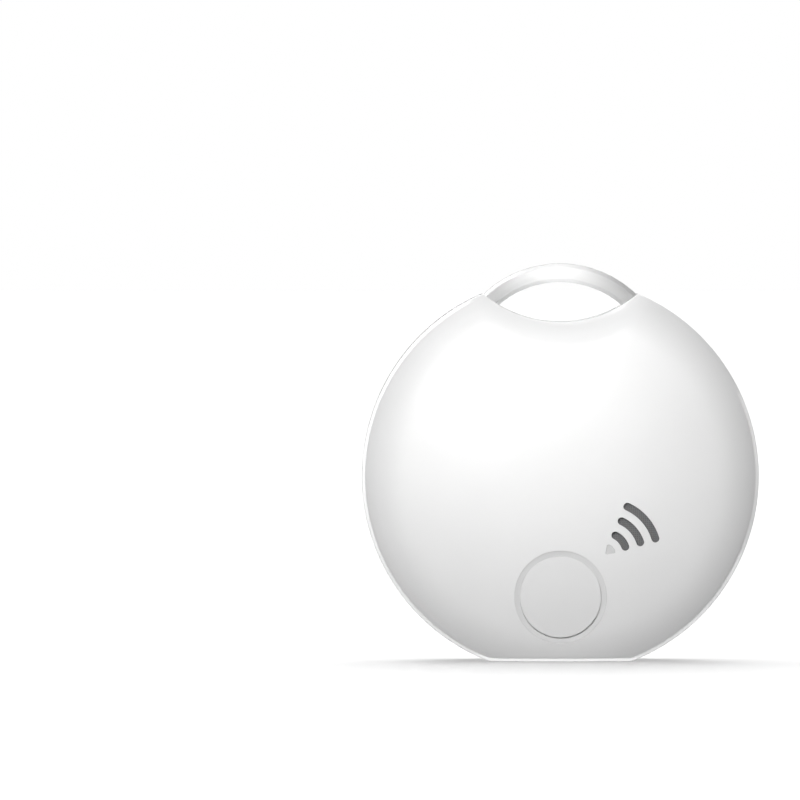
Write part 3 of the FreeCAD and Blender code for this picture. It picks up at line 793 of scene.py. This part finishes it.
def make_rear_cover():
    mouth = circle(DOOR_RADIUS + DOOR_GAP, count=DOOR_POINTS)
    bore = circle(DOOR_RADIUS - DOOR_LEDGE, count=DOOR_POINTS)
    holes = [(mouth, HOLE_MARGIN, [at(mouth, DOOR_SEAT), at(bore, DOOR_SEAT), at(bore, SKIN)])]
    for angle in SCREW_ANGLES:
        centre = (SCREW_CIRCLE * math.cos(angle), SCREW_CIRCLE * math.sin(angle))
        sink, shaft, boss = (circle(radius, centre, SCREW_POINTS) for radius in SCREW_RADII)
        below = [at(sink, SCREW_SEAT), at(shaft, SCREW_SEAT), at(shaft, BOSS_END), at(boss, BOSS_END),
                 at(boss, face_depth(boss) + SKIN)]
        holes.append((sink, SMALL_HOLE_MARGIN, below))
    back = THICKNESS - FRAME_BACK - SEAM
    piece = cover(back, holes).build("rear_cover_skin", shell_white, from_rear=True)
    fit_out(piece, "root", "white_shell", "rear_cover")


def make_door():
    """The round door: its face with the coin slot, its edge, and the plug with its hollow behind."""
    skin = Skin()
    length, width, slot_depth = COIN_SLOT
    rim = stadium(length, width)
    lip, floor = grown(rim, COIN_SLOT_MARGIN), grown(rim, -COIN_SLOT_RIM)
    slot = [at(lip, 0), at(rim, 0), at(rim, slot_depth), at(floor, slot_depth)]
    opening, bottom = skin.stack(rounded(slot, COIN_SLOT_EDGES))
    skin.fill(bottom, [], level(slot_depth), COIN_SLOT_NET)
    profile = [(DOOR_RADIUS - DOOR_RIM, 0), (DOOR_RADIUS, 0), (DOOR_RADIUS, DOOR_THICKNESS),
               (PLUG_RADIUS, DOOR_THICKNESS), (PLUG_RADIUS, PLUG_END), (PLUG_BORE, PLUG_END),
               (PLUG_BORE, DOOR_INSIDE), (PLUG_BORE - PLUG_RIM, DOOR_INSIDE)]
    loops = [at(circle(radius, count=DOOR_POINTS), depth) for radius, depth in profile]
    face, inside_face = skin.stack(rounded(loops, [*DOOR_EDGES, 0, 0, 0, 0]))
    skin.fill(face, [opening], level(0), DOOR_NET)
    skin.cap(inside_face)
    piece = skin.build("battery_door_skin", shell_white, from_rear=True)
    fit_out(piece, "door", "white_shell", "battery_door")


# ---------------------------------------------------------------- floor, light and camera

# Lengths are in metres from here on
FLOOR_REACH = 3.0
FLOOR_GLOW = 0.13  # keeps its shadow soft

# The surround's brightness from its dark end, in front of the tag (0), to its bright end, behind it (1)
SURROUND = [(0.0, 0.1), (0.4, 0.18), (0.49, 0.69), (1.0, 0.6)]
SURROUND_AXIS = (-0.03, 0.92, -0.39)  # towards the bright end

# The key light: place from the body's middle, size and power
KEY_PLACE = (-0.007, -0.055, 0.017)
KEY_SIZE = 0.03
KEY_POWER = 0.0337

# Small lights for the loop alone, which the key and the suns leave out: place from its crown, size and power
CROWN_RISE = 0.0235
LOOP_LIGHTS = [("loop_light", (-0.0007, -0.0125, 0.0022), 0.006, 0.00162),
               ("loop_side", (-0.0120, -0.0015, 0.0060), 0.006, 0.0004),
               ("loop_glint", (0, -0.0030, -0.0045), 0.002, 0.00005)]

# Broad suns, one for the tag and two for the floor: direction, energy and angle in degrees
TAG_SUN = ("back", (-0.05, 0.5, 0.86), 1.95, 62)
FLOOR_SUNS = [("floor_back", (-0.03, 0.48, 0.88), 1.65, 66),
              ("floor_front", (-0.03, -0.4, 0.92), 0.85, 74)]

# Strips all round the tag, near its own plane, for its chamfers: direction in degrees and brightness
STRIPS = [(0, 3.4), (45, 0.7), (90, 1.2), (135, 7.0), (180, 6.5), (225, 5.3), (270, 8.0), (315, 5.2)]
STRIP_REACH = 0.3
STRIP_SETBACK = 0.06  # behind that plane, as a part of the reach
STRIP_SIZE = (0.25, 0.08)

# The camera: what it looks at, counted from the axis at the front face, and how
VIEW_OFFSET = (-0.01818, 0.0015, 0.00866)
VIEW_WIDTH = 0.09068
VIEW_ELEVATION = math.radians(1.5)
LENS = 400  # in millimetres, as is the sensor
SENSOR = 36


def make_stage():
    """A plain pale floor, which doesn't throw light back on the tag, and the surround. Returns the floor."""
    mesh = bpy.data.meshes.new("floor")
    corners = [(x * FLOOR_REACH, y * FLOOR_REACH, 0) for x, y in ((-1, -1), (1, -1), (1, 1), (-1, 1))]
    mesh.from_pydata(corners, [], [(0, 1, 2, 3)])
    floor = bpy.data.objects.new("floor", mesh)
    bpy.context.scene.collection.objects.link(floor)
    floor.visible_diffuse = False
    floor.visible_glossy = False
    material, shader, add, link = new_material("floor_white")
    place = add("ShaderNodeTexCoord").outputs["Object"]
    cloud = add("ShaderNodeTexNoise", Vector=place, Scale=8)
    link(ramp(add, cloud.outputs["Fac"], (0.90, 0.90, 0.90), (0.92, 0.92, 0.92)), "Base Color")
    shader.inputs["Roughness"].default_value = 0.9
    shader.inputs["Emission Color"].default_value = (1, 1, 1, 1)
    shader.inputs["Emission Strength"].default_value = FLOOR_GLOW
    mesh.materials.append(material)
    make_surround()
    return floor


def make_surround():
    """A plain surround, which is white to look at and lights the tag less in front than behind."""
    world = bpy.data.worlds.new("surround")
    bpy.context.scene.world = world
    world.use_nodes = True
    tree = world.node_tree
    place = tree.nodes.new("ShaderNodeTexCoord")
    part = tree.nodes.new("ShaderNodeVectorMath")
    part.operation = "DOT_PRODUCT"
    part.inputs[1].default_value = Vector(SURROUND_AXIS).normalized()
    along = tree.nodes.new("ShaderNodeMapRange")
    shade = tree.nodes.new("ShaderNodeValToRGB")
    path = tree.nodes.new("ShaderNodeLightPath")
    mix = tree.nodes.new("ShaderNodeMix")
    background = tree.nodes["Background"]
    tree.links.new(place.outputs["Generated"], part.inputs[0])
    tree.links.new(part.outputs["Value"], along.inputs["Value"])
    along.inputs["From Min"].default_value = -1
    tree.links.new(along.outputs["Result"], shade.inputs["Fac"])
    stops = shade.color_ramp.elements
    stops[1].position = SURROUND[-1][0]
    for position, _ in SURROUND[1:-1]:
        stops.new(position)
    for stop, (position, grey) in zip(stops, SURROUND):
        stop.position = position
        stop.color = (grey, grey, grey, 1)
    tree.links.new(path.outputs["Is Camera Ray"], mix.inputs["Factor"])
    tree.links.new(shade.outputs["Color"], mix.inputs["A"])
    mix.inputs["B"].default_value = 1
    background.inputs["Color"].default_value = (1, 1, 1, 1)
    tree.links.new(mix.outputs["Result"], background.inputs["Strength"])


def aimed(item, place, target):
    item.location = Vector(place)
    item.rotation_mode = "QUATERNION"
    item.rotation_quaternion = (Vector(target) - Vector(place)).to_track_quat("-Z", "Y")
    bpy.context.scene.collection.objects.link(item)


def soft_light(name, place, target, size, power):
    """A soft light, round or as a strip, which the camera doesn't see."""
    light = bpy.data.lights.new(name, "AREA")
    light.energy = power
    if isinstance(size, tuple):
        light.shape = "RECTANGLE"
        light.size, light.size_y = size
    else:
        light.shape = "DISK"
        light.size = size
    item = bpy.data.objects.new(name, light)
    aimed(item, place, target)
    item.visible_camera = False
    return item


def light_only(light, pieces):
    """Keeps a light to some of the pieces, as a flag does in a studio."""
    lit = bpy.data.collections.new(f"{light.name}_lit")
    for piece in pieces:
        lit.objects.link(piece)
    light.light_linking.receiver_collection = lit


def broad_sun(name, direction, energy, degrees, pieces):
    """A sun with a wide disc, for soft shadows, that lights some pieces only."""
    sun = bpy.data.lights.new(name, "SUN")
    sun.energy = energy
    sun.angle = math.radians(degrees)
    item = bpy.data.objects.new(name, sun)
    aimed(item, direction, (0, 0, 0))
    light_only(item, pieces)


def make_lights(floor):
    middle = Vector((0, 0, AXIS_HEIGHT * MM))
    loop = bpy.data.objects["loop_frame_skin"]
    rest = [item for item in bpy.context.scene.objects if item.type == "MESH" and item not in (loop, floor)]
    key = soft_light("key", middle + Vector(KEY_PLACE), middle, KEY_SIZE, KEY_POWER)
    key.visible_glossy = False
    light_only(key, rest)
    crown = middle + Vector((0, 0, CROWN_RISE))
    for name, offset, size, power in LOOP_LIGHTS:
        spot = soft_light(name, crown + Vector(offset), crown, size, power)
        spot.visible_glossy = False
        light_only(spot, [loop])
    broad_sun(*TAG_SUN, rest)
    for sun in FLOOR_SUNS:
        broad_sun(*sun, [floor])
    for degrees, brightness in STRIPS:
        angle = math.radians(degrees)
        place = middle + Vector((math.cos(angle), STRIP_SETBACK, math.sin(angle))) * STRIP_REACH
        power = brightness * math.pi * STRIP_SIZE[0] * STRIP_SIZE[1]
        strip = soft_light(f"strip_{degrees}", place, middle, STRIP_SIZE, power)
        strip.rotation_mode = "XYZ"
        strip.rotation_euler = (0, math.pi / 2 - angle, 0)
        strip.visible_diffuse = False


def make_camera():
    centre = Vector((0, cad_box[0].y, AXIS_HEIGHT * MM)) + Vector(VIEW_OFFSET)
    distance = VIEW_WIDTH * LENS / SENSOR
    data = bpy.data.cameras.new("camera")
    data.lens = LENS
    data.sensor_width = SENSOR
    data.clip_end = 10
    camera = bpy.data.objects.new("camera", data)
    back = Vector((0, -math.cos(VIEW_ELEVATION), math.sin(VIEW_ELEVATION)))
    aimed(camera, centre + back * distance, centre)
    bpy.context.scene.camera = camera
    bpy.context.scene.view_settings.view_transform = "Standard"


make_front_cover()
make_button()
make_membrane()
make_light_guide()
make_frame()
make_rear_cover()
make_door()
make_lights(make_stage())
make_camera()
